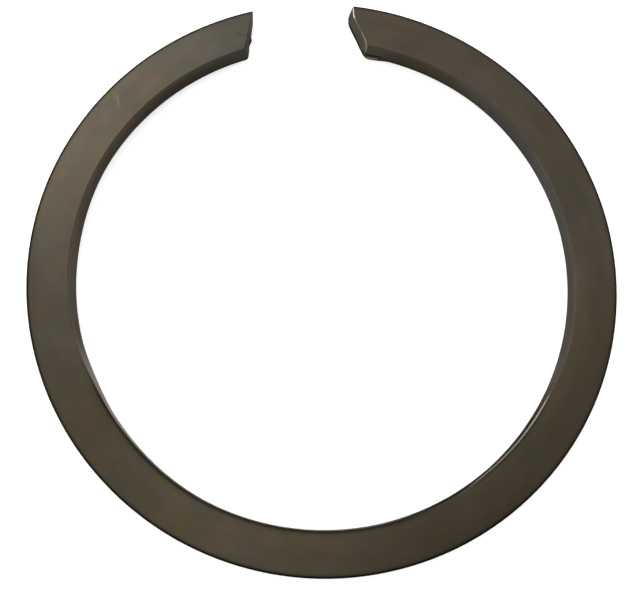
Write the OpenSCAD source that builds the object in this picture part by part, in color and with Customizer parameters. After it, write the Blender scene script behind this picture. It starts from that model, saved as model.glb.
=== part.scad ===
// Retaining ring: a split ring of constant rectangular section that springs
// into a groove round a shaft. It is one piece of coiled steel bar, with its
// two ends sheared at a slant, so that the gap opens inwards.
// Millimetres, +Z up. The origin is on the ring's axis, in the plane of the
// face it lies on. The gap between the ends faces +Y.

/* [Ring] */
// Outside diameter of the ring
outer_d = 95; // [92:0.5:110]
// Inside diameter of the ring, as it lies relaxed
inner_d = 81.3; // [70:0.1:84]
// Thickness from face to face
thickness = 4; // [2:0.1:6]
// Radius of the rounded long edges of the section
edge_r = 0.25; // [0.1:0.05:0.6]

/* [End on the +X side] */
// Distance of this end from the gap's centre line, halfway across the ring
end_a_x = 8.6; // [4:0.05:14]
// Slant of the cut, in degrees: the gap opens inwards by this much
end_a_slant = 20.5; // [0:0.5:30]
// Draft of the sheared face, in degrees: its lower edge stands forward
end_a_draft = 7.5; // [0:0.5:10]
// Width cut off the sharp outer tip by a small blunt flat, 0 for none
end_a_blunt = 0.7; // [0:0.05:1]

/* [End on the -X side] */
// Distance of this end from the gap's centre line, halfway across the ring
end_b_x = 9.5; // [4:0.05:14]
// Slant of the cut, in degrees: the gap opens inwards by this much
end_b_slant = 11.5; // [0:0.5:30]
// Draft of the sheared face, in degrees: its lower edge stands forward
end_b_draft = 3.5; // [0:0.5:10]
// Width cut off the sharp outer tip by a small blunt flat, 0 for none
end_b_blunt = 0; // [0:0.05:1]

/* [Hidden] */

outer_r = outer_d / 2;
inner_r = inner_d / 2;
mid_r = (outer_r + inner_r) / 2;
half_w = (outer_r - inner_r) / 2;
// size of the blocks that cut the gap
cut_l = 2 * outer_r;
cut_h = 4 * thickness;
// the blunt flat leans slightly the other way, opening outwards
blunt_slant = -4.3;

// Points of a quarter circle of edge_r about c, counter-clockwise from a0
function corner(c, a0) = [for (i = [0:3]) c + edge_r * [cos(a0 + 30 * i), sin(a0 + 30 * i)]];

// The section: a rectangle with its four long edges rounded
function section() = concat(
    corner([outer_r - edge_r, edge_r], 270),
    corner([outer_r - edge_r, thickness - edge_r], 0),
    corner([inner_r + edge_r, thickness - edge_r], 90),
    corner([inner_r + edge_r, edge_r], 180)
);

// A block whose +X side is the cutting face: it passes through [x, y] on the
// lower face of the ring, slants inwards and leans back with height
module cutter(x, y, slant, draft) {
    translate([x, y, 0])
        rotate([0, draft, slant])
            translate([-cut_l, -cut_l / 2, -cut_h / 2])
                cube([cut_l, cut_l, cut_h]);
}

// All that lies on the gap's side of one end, for an end on the +X side
module beyond_end(x, slant, draft, blunt) {
    y = sqrt(mid_r * mid_r - x * x);
    cutter(x, y, slant, draft);
    if (blunt > 0)
        cutter(x - half_w * tan(slant) + blunt, y + half_w, blunt_slant, draft);
}

// The gap: what lies beyond both ends, on the +Y side of the ring
module gap() {
    intersection() {
        translate([-cut_l / 2, inner_r / 2, -cut_h / 2])
            cube([cut_l, cut_l / 2, cut_h]);
        union()
            beyond_end(end_a_x, end_a_slant, end_a_draft, end_a_blunt);
        mirror([1, 0, 0])
            beyond_end(end_b_x, end_b_slant, end_b_draft, end_b_blunt);
    }
}

module retaining_ring() {
    color([0.30, 0.27, 0.23])
        difference() {
            rotate_extrude($fn = 360)
                polygon(section());
            gap();
        }
}

retaining_ring();
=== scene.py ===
import math

import bpy
import numpy as np
from mathutils import Matrix, Vector


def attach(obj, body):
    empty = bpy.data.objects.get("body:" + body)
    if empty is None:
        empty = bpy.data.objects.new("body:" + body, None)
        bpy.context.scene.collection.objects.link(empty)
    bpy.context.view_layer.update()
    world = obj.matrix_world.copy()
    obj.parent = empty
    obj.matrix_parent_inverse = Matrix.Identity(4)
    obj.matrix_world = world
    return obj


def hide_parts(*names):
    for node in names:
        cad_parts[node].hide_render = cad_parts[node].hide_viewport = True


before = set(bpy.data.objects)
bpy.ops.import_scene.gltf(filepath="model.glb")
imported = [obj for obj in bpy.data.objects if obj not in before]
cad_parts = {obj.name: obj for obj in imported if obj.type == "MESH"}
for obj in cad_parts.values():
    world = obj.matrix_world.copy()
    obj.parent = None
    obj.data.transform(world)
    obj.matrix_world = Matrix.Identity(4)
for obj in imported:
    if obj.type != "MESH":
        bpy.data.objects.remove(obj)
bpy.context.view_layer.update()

# ---------------------------------------------------------------------------
# The ring's dimensions, in millimetres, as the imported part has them.
# ---------------------------------------------------------------------------
OUTER_R = 47.5
INNER_R = 40.65
THICK = 4.0
MID_R = (OUTER_R + INNER_R) / 2
HALF_W = (OUTER_R - INNER_R) / 2
END_A = {"x": 8.6, "slant": 20.5, "draft": 7.5, "blunt": 0.7}
END_B = {"x": 9.5, "slant": 11.5, "draft": 3.5, "blunt": 0.0}
BLUNT_SLANT = -4.3

MM = 0.001


# ---------------------------------------------------------------------------
# Camera: looks down on the ring from about one and a half diameters away.
# ---------------------------------------------------------------------------
def make_camera():
    right = Vector((0.998151, -0.059680, 0.011474))
    up = Vector((0.055284, 0.970084, 0.236391))
    back = -Vector((0.025239, 0.235320, -0.971590))
    data = bpy.data.cameras.new("camera")
    data.sensor_fit = "HORIZONTAL"
    data.sensor_width = 36.0
    data.lens = 851.2 * 36.0 / 643.0
    data.shift_x = (321.5 - 285.5) / 643.0
    data.shift_y = -(300.0 - 276.5) / 643.0
    data.clip_start = 0.01
    data.clip_end = 20.0
    data.dof.use_dof = False
    cam = bpy.data.objects.new("camera", data)
    bpy.context.scene.collection.objects.link(cam)
    cam.matrix_world = Matrix(
        (
            (right.x, up.x, back.x, -9.479 * MM),
            (right.y, up.y, back.y, -33.244 * MM),
            (right.z, up.z, back.z, 136.637 * MM),
            (0, 0, 0, 1),
        )
    )
    bpy.context.scene.camera = cam
    return cam


# ---------------------------------------------------------------------------
# The ring's mesh: its rounded section is swept from one sheared end to the
# other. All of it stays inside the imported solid's outline.
# ---------------------------------------------------------------------------
def cut_planes(end):
    """The planes that cut an end, as (x, y, slant, draft)."""
    y = math.sqrt(MID_R**2 - end["x"] ** 2)
    planes = [(end["x"], y, end["slant"], end["draft"])]
    if end["blunt"] > 0:
        x = end["x"] - HALF_W * math.tan(math.radians(end["slant"])) + end["blunt"]
        planes.append((x, y + HALF_W, BLUNT_SLANT, end["draft"]))
    return planes


def end_angle(end, r, z):
    """Where the cut meets a circle of radius r at height z, for an end on the +X side:
    its polar angle, and how square to the bar the cut is there, from 0 to 1."""
    found = []
    for px, py, slant, draft in cut_planes(end):
        s = math.radians(slant)
        c = px * math.cos(s) + py * math.sin(s) + z * math.tan(math.radians(draft))
        turn = np.arccos(c / r)
        found.append((s + turn, np.sin(turn)))
    angle, square = found[0]
    for other, other_square in found[1:]:
        # the two planes meet in a slightly softened corner
        gap = angle - other
        root = np.sqrt(gap**2 + 0.004**2)
        part = 0.5 + 0.5 * gap / root
        angle = 0.5 * (angle + other - root)
        square = square * (1 - part) + other_square * part
    return angle, square


def waves(count, low, high, seed):
    """Directions and phases of smooth random waves, by wavelength in millimetres."""
    rng = np.random.default_rng(seed)
    length = np.exp(rng.uniform(math.log(low), math.log(high), count))
    turn = rng.uniform(0, 2 * math.pi, count)
    k = (2 * math.pi / length)[:, None] * np.stack([np.cos(turn), np.sin(turn)], 1)
    return k, rng.uniform(0, 2 * math.pi, count), length / length.sum()


def wavy(p, q, spec):
    """Smooth random surface in 0..1 over the coordinates p and q, in millimetres."""
    k, phase, weight = spec
    total = np.zeros_like(p)
    for (kp, kq), f, w in zip(k, phase, weight):
        total += w * np.sin(kp * p + kq * q + f)
    return np.clip(0.5 + 0.9 * total, 0, 1)


def smooth(t):
    t = np.clip(t, 0, 1)
    return t * t * (3 - 2 * t)


TOP_SEGMENTS, WALL_SEGMENTS, CORNER_SEGMENTS = 20, 9, 6
SUPPORT = 0.03  # distance of the extra loops beside each rounded edge


def section(e):
    """Rectangle with edges rounded by e: points (a, z, side), with a measured outwards
    from the inner wall. It starts in the middle of the lower face and goes outwards,
    up, inwards and down. side says which face or corner a point is on."""
    width = 2 * HALF_W
    pts = []

    def line(a0, z0, a1, z1, n, side):
        length = math.hypot(a1 - a0, z1 - z0)
        f = np.linspace(0, 1, n + 1)
        s = min(SUPPORT / max(length, 1e-6), 0.2)
        f = np.concatenate([[0, s], f[1:-1], [1 - s, 1]])
        for t in f[:-1]:
            pts.append((a0 + (a1 - a0) * t, z0 + (z1 - z0) * t, side))

    def corner(a, z, start, side):
        for i in range(CORNER_SEGMENTS):
            t = math.radians(start + 90.0 * i / CORNER_SEGMENTS)
            pts.append((a + e * math.cos(t), z + e * math.sin(t), side))

    half = TOP_SEGMENTS // 2
    line(HALF_W, 0, width - e, 0, half, 0)
    corner(width - e, e, 270, 1)
    line(width, e, width, THICK - e, WALL_SEGMENTS, 2)
    corner(width - e, THICK - e, 0, 3)
    line(width - e, THICK, e, THICK, TOP_SEGMENTS, 4)
    corner(e, THICK - e, 90, 5)
    line(0, THICK - e, 0, e, WALL_SEGMENTS, 6)
    corner(e, e, 180, 7)
    line(e, 0, HALF_W, 0, half, 0)
    return np.array(pts)


def rounding(s, q):
    """How far a side has moved in at distance s from an end face, for an edge of radius q."""
    s = np.clip(s, 0, q)
    return q - np.sqrt(np.maximum(q * q - (q - s) ** 2, 0.0))


# The edges of the end faces, as radii in millimetres. The shears have rolled
# the lower inner corner of the +X end well over.
def end_edges(end, a, z):
    """Radii of an end face's outer, inner, top and lower edges beside the points (a, z)."""
    low = 1 - smooth(z / THICK)
    inside = 1 - smooth(a / (1.1 * HALF_W))
    if end is END_A:
        return (
            0.12 + 0.10 * low,
            0.14 + 0.62 * low**1.3,
            0.10 + 0.05 * inside,
            0.16 + 0.50 * inside**2,
        )
    return (0.10 + 0.05 * low, 0.12 + 0.25 * low, 0.09 + 0 * a, 0.15 + 0 * a)


def end_shape(end, r, z):
    """How far an end face stands forward of its cut, in millimetres: the shears left it
    slightly twisted, with small steps and burrs."""
    up = z / THICK
    t = (r - MID_R) / HALF_W
    if end is END_A:
        lean = 0.19 + 0.30 * smooth((41.6 - r) / 1.6) - 0.23 * smooth((r - 44.7) / 1.7)
        return lean * up + 0.26 * smooth((43.4 - r) / 3.2) * (1 - up)
    burr = 0.22 * np.exp(-(((r - 43.95) / 0.42) ** 2)) * smooth(1.4 - 1.6 * up)
    hollow = 0.08 * np.exp(-(((r - 42.9) / 0.6) ** 2)) * (1 - up)
    return t * (0.33 * up - 0.12) + burr - hollow


def set_in(from_a, z):
    """How far the inner wall stands further in beside the +X end, in millimetres: the
    bar was spread a little as it was sheared, most at its lower edge."""
    low = 1 - smooth(z / THICK)
    return 0.50 * smooth((26.0 - from_a) / 24.0) + 0.42 * low * smooth((5.5 - from_a) / 5.0)


def overhang(turn, z):
    """How far the inner wall's upper edge stands further in at the lower right, where it
    is rolled over, in millimetres. turn is the polar angle in degrees."""
    along = smooth((turn + 65.0) / 10.0) * smooth((-20.0 - turn) / 15.0)
    return 0.20 * along * smooth((z - 0.6) / 3.0)


def lean(turn, z):
    """How far the inner wall stands further in at the left, where only its lower part
    does, and at the lower left, where all of it does, in millimetres."""
    left = smooth((turn + 214.0) / 28.0) * smooth((-148.0 - turn) / 18.0)
    lower_left = smooth((turn + 168.0) / 14.0) * smooth((-117.0 - turn) / 37.0)
    return 0.40 * left * (1 - z / THICK) + 0.43 * lower_left


NEAR = [0, 0.012, 0.03, 0.06, 0.095, 0.14, 0.19, 0.25, 0.33, 0.42, 0.53, 0.66, 0.82, 1.0, 1.25, 1.6]
PITCH = 0.42
BLEND = math.radians(15)


def build_ring():
    """Vertices in millimetres, faces, and the values that its material reads."""
    mid = np.array([MID_R]), np.array([THICK / 2])
    (a_nom,), (a_square,) = end_angle(END_A, *mid)
    (b_nom,), (b_square,) = end_angle(END_B, *mid)
    b_nom = math.pi - b_nom - 2 * math.pi
    span = (a_nom - b_nom) * MID_R
    first, last = NEAR[-1] / a_square, NEAR[-1] / b_square
    plain = span - first - last
    steps = int(round(plain / PITCH))
    places = (
        [s / a_square for s in NEAR]
        + [first + plain * i / steps for i in range(1, steps)]
        + [span - s / b_square for s in reversed(NEAR)]
    )
    edge_waves = waves(9, 9, 60, 11)
    top_waves = waves(26, 3.0, 26, 5)
    side_waves = waves(20, 4.0, 30, 8)

    rings = []
    for place in places:
        from_a, from_b = place * a_square, (span - place) * b_square
        nominal = a_nom - place / MID_R
        # the bar's own edge radius drifts a little along its length
        e = 0.225 + 0.05 * float(
            wavy(np.array([nominal * MID_R]), np.array([0.0]), edge_waves)[0]
        )
        pts = section(e)
        a, z, side = pts[:, 0], pts[:, 1], pts[:, 2]
        across = (a - HALF_W) / HALF_W
        up = (z - THICK / 2) / (THICK / 2)
        # the end faces' own edges
        for end, d in ((END_A, from_a), (END_B, from_b)):
            if d < 2.0:
                outer, inner, top, low = end_edges(end, a, z)
                a = a + rounding(d, inner) * (0.5 - across / 2) ** 4
                a = a - rounding(d, outer) * (0.5 + across / 2) ** 4
                z = z - rounding(d, top) * (0.5 + up / 2) ** 3
                z = z + rounding(d, low) * (0.5 - up / 2) ** 3
        # the broad faces are slightly crowned and the walls slightly barrelled
        arc = np.full_like(a, nominal * MID_R)
        crown = 0.045 * across**2
        top_part = np.clip((up - 0.2) / 0.6, 0, 1)
        low_part = np.clip((-up - 0.2) / 0.6, 0, 1)
        z = z - top_part * (crown + 0.016 * wavy(arc, a * 1.6, top_waves))
        z = z + low_part * (crown + 0.010 * wavy(arc + 300, a * 1.6, top_waves))
        barrel = 0.02 * up**2
        out_part = np.clip((across - 0.7) / 0.25, 0, 1)
        in_part = np.clip((-across - 0.7) / 0.25, 0, 1)
        a = a - out_part * (0.012 + barrel + 0.02 * wavy(arc, z * 1.3 + 50, side_waves))
        a = a + in_part * (barrel + 0.02 * wavy(arc, z * 1.3 - 50, side_waves))
        inwards = 1 - np.clip(a / (2 * HALF_W), 0, 1)
        turn = math.degrees(nominal)
        flare = (set_in(from_a, z) + lean(turn, z)) * inwards**1.5
        r = INNER_R + a - flare - overhang(turn, z) * inwards**3
        # stations near an end turn to lie along its cut
        theta = np.full_like(r, nominal)
        w_a = float(1 - smooth((a_nom - nominal) / BLEND))
        w_b = float(1 - smooth((nominal - b_nom) / BLEND))
        if w_a > 0:
            cut, square = end_angle(END_A, r, z)
            forward = end_shape(END_A, r, z) / (square * r)
            theta = theta + w_a * (cut + forward - a_nom)
            theta = theta - w_a * (from_a / (square * r) - place / MID_R)
        if w_b > 0:
            cut, square = end_angle(END_B, r, z)
            forward = end_shape(END_B, r, z) / (square * r)
            theta = theta + w_b * (math.pi - cut - forward - 2 * math.pi - b_nom)
            theta = theta + w_b * (from_b / (square * r) - (span - place) / MID_R)
        rings.append((theta, r, z, a, from_a, from_b))

    count = len(rings[0][0])
    verts, faces = [], []
    values = {k: [] for k in ("arc", "wide", "high", "near_a", "near_b", "cut")}

    def note(theta, r, z, a, from_a, from_b, cut):
        verts.append(np.stack([r * np.cos(theta), r * np.sin(theta), z], 1))
        for key, value in (
            ("arc", theta * MID_R),
            ("wide", a),
            ("high", z),
            ("near_a", from_a),
            ("near_b", from_b),
            ("cut", cut),
        ):
            values[key].append(np.zeros_like(r) + value)

    for theta, r, z, a, from_a, from_b in rings:
        note(theta, r, z, a, from_a, from_b, 0.0)
    for i in range(len(rings) - 1):
        for j in range(count):
            k = (j + 1) % count
            a0, a1 = i * count + j, i * count + k
            b0, b1 = a0 + count, a1 + count
            faces.append((a0, a1, b1, b0))

    total = len(rings) * count

    def cap(ring_index, end, mirrored):
        """Fills an end with rings of faces that shrink to its middle, and gives the
        sheared surface a faint upright grain."""
        nonlocal total
        theta, r, z, a = rings[ring_index][:4]
        rc, zc, ac = r.mean(), z.mean(), a.mean()
        grain = waves(30, 0.5, 4.0, 21 if mirrored else 22)
        previous = ring_index * count + np.arange(count)

        def quad(*q):
            faces.append(tuple(int(v) for v in (reversed(q) if mirrored else q)))

        def place(rr, zz, aa, f):
            cut, square = end_angle(end, rr, zz)
            forward = end_shape(end, rr, zz)
            forward = forward - 0.030 * wavy(rr * 2.2, zz * 0.7, grain) * min(1.0, (1 - f) / 0.07)
            t = cut + forward / (square * rr)
            if mirrored:
                t = math.pi - t - 2 * math.pi
            far_a, far_b = (99.0, 0.0) if mirrored else (0.0, 99.0)
            note(t, rr, zz, aa, far_a, far_b, 1.0)

        for f in [0.985, 0.95, 0.89, 0.81, 0.71, 0.60, 0.49, 0.37, 0.25, 0.13]:
            place(rc + (r - rc) * f, zc + (z - zc) * f, ac + (a - ac) * f, f)
            now = total + np.arange(count)
            for j in range(count):
                k = (j + 1) % count
                quad(previous[j], now[j], now[k], previous[k])
            previous = now
            total += count
        place(np.array([rc]), np.array([zc]), np.array([ac]), 0.0)
        for j in range(count):
            quad(previous[j], total, previous[(j + 1) % count])
        total += 1

    cap(0, END_A, False)
    cap(len(rings) - 1, END_B, True)
    return np.concatenate(verts), faces, {k: np.concatenate(v) for k, v in values.items()}


def make_ring():
    verts, faces, values = build_ring()
    mesh = bpy.data.meshes.new("retaining_ring_skin")
    mesh.from_pydata((verts * MM).tolist(), [], faces)
    mesh.update()
    mesh.polygons.foreach_set("use_smooth", [True] * len(mesh.polygons))
    for name in ("arc", "wide", "high", "near_a", "near_b"):
        put_values(mesh, name, values[name] * MM)
    put_values(mesh, "cut", values["cut"])
    mesh.validate()
    mesh.update()
    ob = bpy.data.objects.new("retaining_ring_body", mesh)
    bpy.context.scene.collection.objects.link(ob)
    return ob


def put_values(mesh, name, data):
    mesh.attributes.new(name, "FLOAT", "POINT").data.foreach_set(
        "value", np.asarray(data, np.float32)
    )


# ---------------------------------------------------------------------------
# Materials
# ---------------------------------------------------------------------------
class Nodes:
    """Short forms for building a node tree. Lengths are in metres."""

    def __init__(self, name):
        self.mat = bpy.data.materials.new(name)
        self.mat.use_nodes = True
        self.tree = self.mat.node_tree
        self.tree.nodes.clear()

    def add(self, kind, **props):
        n = self.tree.nodes.new(kind)
        for k, v in props.items():
            setattr(n, k, v)
        return n

    def link(self, a, b):
        self.tree.links.new(a, b)

    def feed(self, socket, value):
        if hasattr(value, "is_linked"):
            self.link(value, socket)
        else:
            socket.default_value = value

    def math(self, op, a, b=0.0, clamp=False):
        n = self.add("ShaderNodeMath", operation=op, use_clamp=clamp)
        self.feed(n.inputs[0], a)
        self.feed(n.inputs[1], b)
        return n.outputs[0]

    def times(self, *values):
        total = values[0]
        for v in values[1:]:
            total = self.math("MULTIPLY", total, v)
        return total

    def plus(self, *values):
        total = values[0]
        for v in values[1:]:
            total = self.math("ADD", total, v)
        return total

    def inverse(self, value):
        return self.math("SUBTRACT", 1.0, value)

    def vector(self, op, a, b=None, scale=None):
        n = self.add("ShaderNodeVectorMath", operation=op)
        self.feed(n.inputs[0], a)
        if b is not None:
            self.feed(n.inputs[1], b)
        if scale is not None:
            self.feed(n.inputs["Scale"], scale)
        return n.outputs["Value" if op in ("DOT_PRODUCT", "DISTANCE", "LENGTH") else "Vector"]

    def attribute(self, name):
        n = self.add("ShaderNodeAttribute", attribute_name=name, attribute_type="GEOMETRY")
        return n.outputs["Fac"]

    def combine(self, x, y, z=0.0):
        n = self.add("ShaderNodeCombineXYZ")
        for s, v in zip(n.inputs, (x, y, z)):
            self.feed(s, v)
        return n.outputs[0]

    def noise(self, vector, scale, detail=2.0, rough=0.5):
        n = self.add("ShaderNodeTexNoise", noise_dimensions="3D")
        self.link(vector, n.inputs["Vector"])
        n.inputs["Scale"].default_value = scale
        n.inputs["Detail"].default_value = detail
        n.inputs["Roughness"].default_value = rough
        return n.outputs["Fac"]

    def ramp(self, value, low, high, out_low=0.0, out_high=1.0):
        n = self.add("ShaderNodeMapRange", interpolation_type="SMOOTHSTEP", clamp=True)
        self.link(value, n.inputs["Value"])
        n.inputs["From Min"].default_value = low
        n.inputs["From Max"].default_value = high
        n.inputs["To Min"].default_value = out_low
        n.inputs["To Max"].default_value = out_high
        return n.outputs["Result"]

    def swing(self, value, amount):
        """Turns a noise around 0.5 into a factor around 1, of about plus or minus amount."""
        return self.plus(self.times(self.math("SUBTRACT", value, 0.5), 4.0 * amount), 1.0)

    def mix(self, factor, a, b):
        n = self.add("ShaderNodeMix", data_type="RGBA", blend_type="MIX")
        self.feed(n.inputs["Factor"], factor)
        for s, v in ((n.inputs[6], a), (n.inputs[7], b)):
            if isinstance(v, tuple):
                s.default_value = (*v, 1.0)
            else:
                self.link(v, s)
        return n.outputs[2]

    def segment(self, place, start, end):
        """Distance in plan from the line between two points, given in millimetres."""
        a = Vector((start[0] * MM, start[1] * MM, 0))
        b = Vector((end[0] * MM, end[1] * MM, 0))
        d = b - a
        flat = self.vector("MULTIPLY", place, (1, 1, 0))
        off = self.vector("SUBTRACT", flat, tuple(a))
        t = self.vector("DOT_PRODUCT", off, tuple(d / d.length_squared))
        t = self.math("MULTIPLY", t, 1.0, clamp=True)
        return self.vector("DISTANCE", off, self.vector("SCALE", tuple(d), scale=t))


BASE = (0.0430, 0.0357, 0.0262)  # the skin's colour, before its patches
ROUGH = 0.36
CUT_TONE = 0.72  # how much lighter the sheared faces are, and the -X one besides
CUT_B_TONE = -0.22


def at(degrees):
    """The arc value of a polar angle, in metres: it falls from the +X end round to the
    -X end."""
    if degrees > 90:
        degrees -= 360
    return math.radians(degrees) * MID_R * MM


def steel_material():
    """Phosphated, oiled spring steel: a dark satin skin, softly mottled, with the faint
    lines of the drawn bar, a darker outer edge of painted shade, further painted shade,
    painted highlights and painted reflections at its edges and inner wall, and a few
    places rubbed bare and scratched."""
    g = Nodes("blackened_steel")
    out = g.add("ShaderNodeOutputMaterial")
    bsdf = g.add("ShaderNodeBsdfPrincipled")
    g.link(bsdf.outputs["BSDF"], out.inputs["Surface"])
    bsdf.inputs["Metallic"].default_value = 1.0
    place = g.add("ShaderNodeTexCoord").outputs["Object"]
    arc, wide, high = (g.attribute(k) for k in ("arc", "wide", "high"))
    cut, near_a, near_b = (g.attribute(k) for k in ("cut", "near_a", "near_b"))
    width = 2 * HALF_W

    def zone(value, low, high_end, soft):
        """1 between two lengths, fading over soft beyond each; all in metres."""
        return g.times(
            g.ramp(value, low - soft, low), g.ramp(value, high_end + soft, high_end)
        )

    def spot(x, y, r_in, r_out):
        """1 within r_in of a place on the ring, fading to r_out, in millimetres."""
        return g.ramp(g.segment(place, (x, y), (x + 0.01, y)), r_out * MM, r_in * MM)

    def stroke(start, end, half):
        """A fine line between two places, its half width in millimetres."""
        return g.ramp(g.segment(place, start, end), half * MM, 0.35 * half * MM)

    # coordinates that follow the bar, for what drawing and coiling left on it
    flow = g.combine(g.times(arc, 150.0), g.times(wide, 6000.0), g.times(high, 6000.0))
    drift = g.combine(g.times(arc, 190.0), g.times(wide, 430.0), g.times(high, 430.0))

    # the skin: brown and olive patches under a softer light and dark mottle
    patches = g.noise(place, 400.0, 2.0, 0.55)
    blue = g.noise(g.vector("ADD", place, (0.31, 0.17, 0.05)), 560.0, 1.0)
    mottle = g.noise(drift, 1.0, 2.0, 0.5)
    broad = g.noise(drift, 0.30, 1.0)
    streaks = g.noise(flow, 1.0, 1.0)
    grain = g.noise(place, 9000.0, 2.0)
    colour = g.mix(
        g.ramp(patches, 0.36, 0.64),
        tuple(BASE[i] * f for i, f in enumerate((1.045, 0.985, 0.950))),
        tuple(BASE[i] * f for i, f in enumerate((0.950, 1.020, 1.035))),
    )
    # the half opposite the gap is browner, and the left shoulder greyer
    brown = zone(arc, at(-150), at(-20), 0.018)
    colour = g.mix(brown, colour, g.vector("MULTIPLY", colour, (1.0, 0.972, 0.885)))
    grey = zone(arc, at(100), at(113), 0.016)
    colour = g.mix(grey, colour, g.vector("MULTIPLY", colour, (0.985, 1.07, 1.16)))
    tint = g.plus(g.times(g.math("SUBTRACT", blue, 0.5), 0.42), 1.0)
    colour = g.vector("MULTIPLY", colour, g.combine(1.0, 1.0, tint))

    # the walls and edges
    wall = g.times(g.ramp(wide, 0.14 * MM, 0.05 * MM), g.inverse(cut))
    upper = g.ramp(high, 3.55 * MM, 3.78 * MM)
    # painted shade: a dark line along the top outer edge, and a fainter darkening of the top face
    # beside it
    outer_edge_shade = g.times(
        g.ramp(wide, (width - 0.60) * MM, (width - 0.22) * MM),
        g.ramp(high, 3.62 * MM, 3.80 * MM),
        g.inverse(cut),
        g.inverse(g.times(zone(arc, at(-40), at(55), 0.018), 0.14)),
    )
    beside_edge_shade = g.times(g.ramp(wide, (width - 0.95) * MM, (width - 0.40) * MM), upper)
    # painted shade: a dark line along the lower inner edge, where the ring meets the floor
    lower_edge_shade = g.times(
        g.ramp(high, 0.50 * MM, 0.20 * MM), g.ramp(wide, 0.6 * MM, 0.3 * MM), g.inverse(cut)
    )
    # painted shade: the top inner edge is dimmed on the right, over its highlight
    inner_edge_shade = g.times(
        g.ramp(wide, 0.34 * MM, 0.16 * MM), g.ramp(high, 3.66 * MM, 3.84 * MM), g.inverse(cut)
    )
    # painted shade: the top face is darkened beside the inner edge on the lower left
    lower_left = g.times(
        g.ramp(arc, at(197), at(209)), g.ramp(arc, at(298), at(280)), upper
    )
    left_inner_shade = g.times(g.ramp(wide, 0.62 * MM, 0.16 * MM), lower_left)
    beside_inner_shade = g.times(g.ramp(wide, 1.10 * MM, 0.45 * MM), lower_left)
    # the rolled edge at the lower right: a painted highlight along its edge, with painted shade on
    # either side
    rolled = zone(arc, at(-57), at(-37), 0.004)
    glint_line = g.times(
        g.ramp(wide, 0.22 * MM, 0.12 * MM), g.ramp(high, 3.58 * MM, 3.76 * MM), rolled
    )
    shade_behind_glint = g.times(zone(wide, 0.24 * MM, 0.45 * MM, 0.14 * MM), upper, rolled)
    shade_under_glint = g.times(
        g.ramp(high, 3.80 * MM, 3.62 * MM), wall, zone(arc, at(-68), at(-44), 0.013)
    )
    # painted light: the top face is lightened towards the inner edge on the lower right
    lower_right = zone(arc, at(-26), at(-8), 0.012)
    painted_light_inner = g.times(g.ramp(wide, 3.6 * MM, 0.2 * MM), lower_right, upper, g.inverse(cut))
    # painted shade where the ring meets the floor: the lower parts of the cut faces, and of the
    # inner wall beside the gap
    cut_foot_shade = g.times(g.ramp(high, 1.05 * MM, 0.45 * MM), cut)
    beside_gap = g.plus(g.ramp(arc, at(130), at(118)), g.ramp(arc, at(50), at(62)))
    wall_foot_shade = g.times(g.ramp(high, 1.1 * MM, 0.3 * MM), wall, beside_gap)
    # the rolled corner of the +X end: a band of painted shade on its wall, with a painted highlight
    # below it standing in for the floor's reflection
    dark_band_shade = g.times(
        zone(high, 1.25 * MM, 1.60 * MM, 0.35 * MM), g.ramp(near_a, 4.2 * MM, 1.8 * MM), wall
    )
    floor_glint = g.times(
        zone(high, 0.62 * MM, 0.86 * MM, 0.22 * MM),
        zone(near_a, 0.6 * MM, 1.9 * MM, 0.8 * MM),
        wall,
    )
    colour = g.mix(wall, colour, g.vector("MULTIPLY", colour, (1.0, 0.99, 1.03)))
    plain = g.times(wall, zone(arc, at(-42), at(32), 0.022))
    colour = g.mix(plain, colour, g.vector("MULTIPLY", colour, (0.99, 1.09, 1.23)))
    tone = g.times(
        g.swing(mottle, 0.095),
        g.swing(broad, 0.060),
        g.swing(streaks, 0.020),
        wall_painted_light(g, arc, wall, zone),
        g.inverse(g.times(cut_foot_shade, 0.85)),
        g.inverse(g.times(wall_foot_shade, g.inverse(floor_glint), 0.40)),
        g.inverse(g.times(dark_band_shade, 0.58)),
        g.plus(1.0, g.times(floor_glint, 2.7)),
        g.inverse(g.times(outer_edge_shade, 0.80)),
        g.inverse(g.times(beside_edge_shade, g.inverse(cut), 0.18)),
        g.inverse(g.times(lower_edge_shade, 0.90)),
        g.inverse(g.times(inner_edge_shade, zone(arc, at(-30), at(34), 0.012), 0.14)),
        g.inverse(g.times(left_inner_shade, 0.60)),
        g.inverse(g.times(beside_inner_shade, 0.12)),
        g.plus(1.0, g.times(painted_light_inner, 0.27)),
        g.inverse(g.times(shade_behind_glint, 0.35)),
        g.inverse(g.times(shade_under_glint, 0.20)),
    )

    # painted shade: the edges darkened above also shine less at a flat angle; the painted highlight
    # line and a painted reflection on the inner wall at the lower left shine brighter
    rim_shade = g.math(
        "MINIMUM", g.plus(outer_edge_shade, lower_edge_shade, cut_foot_shade, left_inner_shade, shade_under_glint), 1.0
    )
    painted_sheen = g.times(zone(arc, at(202), at(212), 0.008), wall)
    glance = g.times(
        g.inverse(g.times(rim_shade, 0.88)), g.plus(0.42, g.times(glint_line, 0.45), g.times(painted_sheen, 0.30))
    )
    g.link(g.combine(glance, glance, glance), bsdf.inputs["Specular Tint"])

    # the sheared faces are duller and greyer, with upright tool lines
    upright = g.combine(g.times(wide, 5200.0), g.times(high, 260.0), g.times(arc, 40.0))
    shear = g.noise(upright, 1.0, 2.0)
    at_b = g.times(cut, g.ramp(near_b, 1.0 * MM, 0.5 * MM))
    tone = g.times(tone, g.plus(1.0, g.times(cut, CUT_TONE)))
    tone = g.times(tone, g.plus(1.0, g.times(at_b, CUT_B_TONE)))
    tone = g.times(
        tone, g.plus(1.0, g.times(cut, g.math("SUBTRACT", shear, 0.5), 0.55))
    )
    colour = g.mix(
        g.times(cut, 0.8), colour, tuple(BASE[i] * f for i, f in enumerate((0.93, 1.02, 1.12)))
    )

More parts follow.
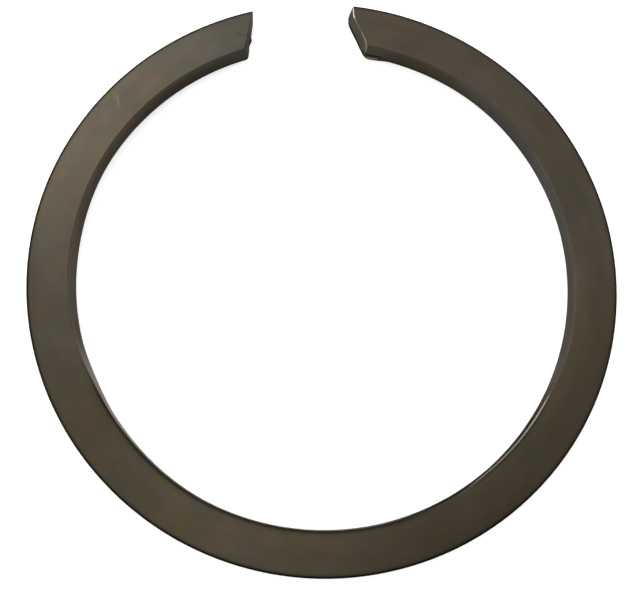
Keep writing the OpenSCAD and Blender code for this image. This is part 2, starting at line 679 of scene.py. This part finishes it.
    # marks on the upper face, all fainter than the worn edge
    top = g.ramp(high, 3.80 * MM, 3.92 * MM)
    uneven = g.noise(place, 2600.0, 2.0)
    broken = g.ramp(uneven, 0.36, 0.56)
    hook = g.plus(
        g.times(stroke((-32.47, 31.13), (-32.32, 30.03), 0.24), 1.0),
        g.times(stroke((-32.32, 30.03), (-32.61, 29.77), 0.20), 0.6),
        g.times(stroke((-32.32, 30.03), (-31.99, 29.56), 0.20), 0.8),
    )
    pale = g.times(spot(-32.60, 31.62, 0.2, 0.9), 0.14)
    speck = g.times(spot(-41.83, 14.24, 0.15, 0.6), 0.16)
    hair = g.times(stroke((-42.02, 20.42), (-41.46, 12.59), 0.10), broken, 0.10)
    light = g.plus(g.times(g.math("MINIMUM", hook, 1.0), 0.26), pale, speck, hair)
    olive = g.times(spot(-34.3, 29.4, 0.5, 2.6), top)
    colour = g.mix(g.times(olive, 0.9), colour, g.vector("MULTIPLY", colour, (0.95, 1.03, 1.0)))
    smudge = g.times(
        g.ramp(g.segment(place, (-11.8, 42.2), (-10.6, 42.0)), 0.60 * MM, 0.10 * MM), 0.19
    )
    tone = g.times(tone, g.plus(1.0, g.times(light, top)), g.inverse(g.times(smudge, top)))

    colour = g.vector("SCALE", colour, scale=tone)

    # steel bared along the top edge of the +X end, strongest at its outer tip
    lip = g.times(g.ramp(near_a, 0.15 * MM, 0.02 * MM), g.ramp(high, 3.78 * MM, 3.90 * MM))
    along = g.plus(
        g.times(g.ramp(wide, 4.35 * MM, 4.85 * MM), 0.66),
        g.times(g.ramp(wide, 3.7 * MM, 4.6 * MM), 0.10),
        g.times(g.ramp(wide, 2.35 * MM, 1.95 * MM), 0.12),
        0.085,
    )
    rim = g.times(lip, along, g.ramp(uneven, 0.25, 0.45, 0.75, 1.0))
    side = g.times(
        g.ramp(near_a, 0.26 * MM, 0.05 * MM),
        g.ramp(wide, 0.30 * MM, 0.12 * MM),
        g.ramp(high, 0.9 * MM, 2.4 * MM),
        0.115,
    )
    bright = g.math("MINIMUM", g.plus(rim, side), 1.0)
    colour = g.mix(bright, colour, (0.80, 0.78, 0.72))
    # the rolled edge at the lower right carries a painted highlight, drawn as a thin cream line
    colour = g.mix(
        g.times(glint_line, g.ramp(arc, at(-57), at(-34), 0.15, 0.40)), colour, (0.55, 0.50, 0.40)
    )
    g.link(colour, bsdf.inputs["Base Color"])

    rough = g.plus(
        ROUGH,
        g.times(g.math("SUBTRACT", patches, 0.5), 0.05),
        g.times(g.math("SUBTRACT", grain, 0.5), 0.06),
        g.times(cut, 0.16),
        g.times(wall, 0.06),
        g.times(light, -0.10),
    )
    g.link(g.math("MULTIPLY", rough, 1.0, clamp=True), bsdf.inputs["Roughness"])

    # relief: fine grain everywhere, drawing lines along the bar, tool lines on the cuts
    relief = g.plus(
        g.times(g.math("SUBTRACT", grain, 0.5), 0.8),
        g.times(g.math("SUBTRACT", streaks, 0.5), g.inverse(cut), 0.7),
        g.times(g.math("SUBTRACT", shear, 0.5), cut, 5.0),
        g.times(hook, top, -1.6),
    )
    bump = g.add("ShaderNodeBump")
    bump.inputs["Strength"].default_value = 1.0
    bump.inputs["Distance"].default_value = 0.0000022
    g.link(relief, bump.inputs["Height"])
    g.link(bump.outputs["Normal"], bsdf.inputs["Normal"])
    return g.mat


def wall_painted_light(g, arc, wall, zone):
    """Painted reflection and painted shade on the inner wall: a little lighter than the broad
    faces, most on the +X side, and lighter or darker in stretches along the arc.
    """
    more = g.plus(
        0.50,
        g.times(g.ramp(arc, at(-61), at(-40)), g.ramp(arc, at(29), at(18)), 0.36),
        g.times(zone(arc, at(35), at(50), 0.008), -0.15),
        g.times(zone(arc, at(60), at(80), 0.010), -0.50),
        g.times(zone(arc, at(-68), at(-47), 0.016), -0.50),
        g.times(zone(arc, at(100), at(122), 0.014), -0.52),
        g.times(zone(arc, at(134), at(146), 0.008), -0.16),
        g.times(zone(arc, at(170), at(216), 0.008), 0.40),
        g.times(zone(arc, at(199), at(212), 0.008), 0.30),
    )
    return g.plus(1.0, g.times(wall, more))


def floor_material():
    g = Nodes("floor_white")
    out = g.add("ShaderNodeOutputMaterial")
    bsdf = g.add("ShaderNodeBsdfPrincipled")
    g.link(bsdf.outputs["BSDF"], out.inputs["Surface"])
    bsdf.inputs["Base Color"].default_value = (0.84, 0.84, 0.84, 1)
    bsdf.inputs["Roughness"].default_value = 1.0
    bsdf.inputs["Emission Color"].default_value = (1.0, 1.0, 1.0, 1)
    bsdf.inputs["Emission Strength"].default_value = 0.36
    bsdf.inputs["Specular IOR Level"].default_value = 0.0
    return g.mat


# ---------------------------------------------------------------------------
# Stage and light
# ---------------------------------------------------------------------------
def make_stage():
    mesh = bpy.data.meshes.new("floor")
    size = 3.0
    mesh.from_pydata(
        [(-size, -size, 0), (size, -size, 0), (size, size, 0), (-size, size, 0)],
        [],
        [(0, 1, 2, 3)],
    )
    floor = bpy.data.objects.new("floor", mesh)
    bpy.context.scene.collection.objects.link(floor)
    floor.location = (0, 0, -0.00002)
    floor.data.materials.append(floor_material())


def make_world(overhead, around):
    """A white studio: dim overhead, and brighter walls from half way down."""
    world = bpy.data.worlds.new("world")
    bpy.context.scene.world = world
    world.use_nodes = True
    nodes, links = world.node_tree.nodes, world.node_tree.links
    background = nodes["Background"]
    background.inputs["Color"].default_value = (1.0, 1.0, 1.0, 1)
    direction = nodes.new("ShaderNodeTexCoord")
    split = nodes.new("ShaderNodeSeparateXYZ")
    level = nodes.new("ShaderNodeMapRange")
    level.interpolation_type = "SMOOTHSTEP"
    level.inputs["From Min"].default_value = 0.35
    level.inputs["From Max"].default_value = 0.80
    level.inputs["To Min"].default_value = around
    level.inputs["To Max"].default_value = overhead
    links.new(direction.outputs["Generated"], split.inputs[0])
    links.new(split.outputs["Z"], level.inputs["Value"])
    links.new(level.outputs["Result"], background.inputs["Strength"])


def area_light(name, toward, distance, size, energy, colour=(1, 1, 1)):
    """A round soft light that faces the ring from the direction toward."""
    data = bpy.data.lights.new(name, "AREA")
    data.shape = "DISK"
    data.size = size
    data.energy = energy
    data.color = colour
    ob = bpy.data.objects.new(name, data)
    bpy.context.scene.collection.objects.link(ob)
    d = Vector(toward).normalized()
    ob.location = d * distance
    ob.rotation_mode = "QUATERNION"
    ob.rotation_quaternion = d.to_track_quat("Z", "Y")
    return ob


make_camera()
make_stage()
make_world(0.48, 1.25)
area_light("key", (-0.33, 0.55, 1.0), 0.9, 0.34, 2.26)
area_light("left", (-0.85, -0.10, 1.0), 0.9, 0.50, 2.35)
area_light("right", (0.45, 0.45, 1.0), 0.9, 0.80, 2.06)
area_light("far", (0.0, 0.85, 1.0), 0.9, 0.40, 0.42)
area_light("over", (-0.06, -0.06, 1.0), 0.9, 0.20, 0.66)
area_light("near", (-0.14, -0.40, 1.0), 0.9, 0.40, 0.27)

ring = make_ring()
ring.data.materials.append(steel_material())
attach(ring, "root")
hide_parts("retaining_ring")

scene = bpy.context.scene
scene.view_settings.view_transform = "Standard"
scene.view_settings.look = "None"
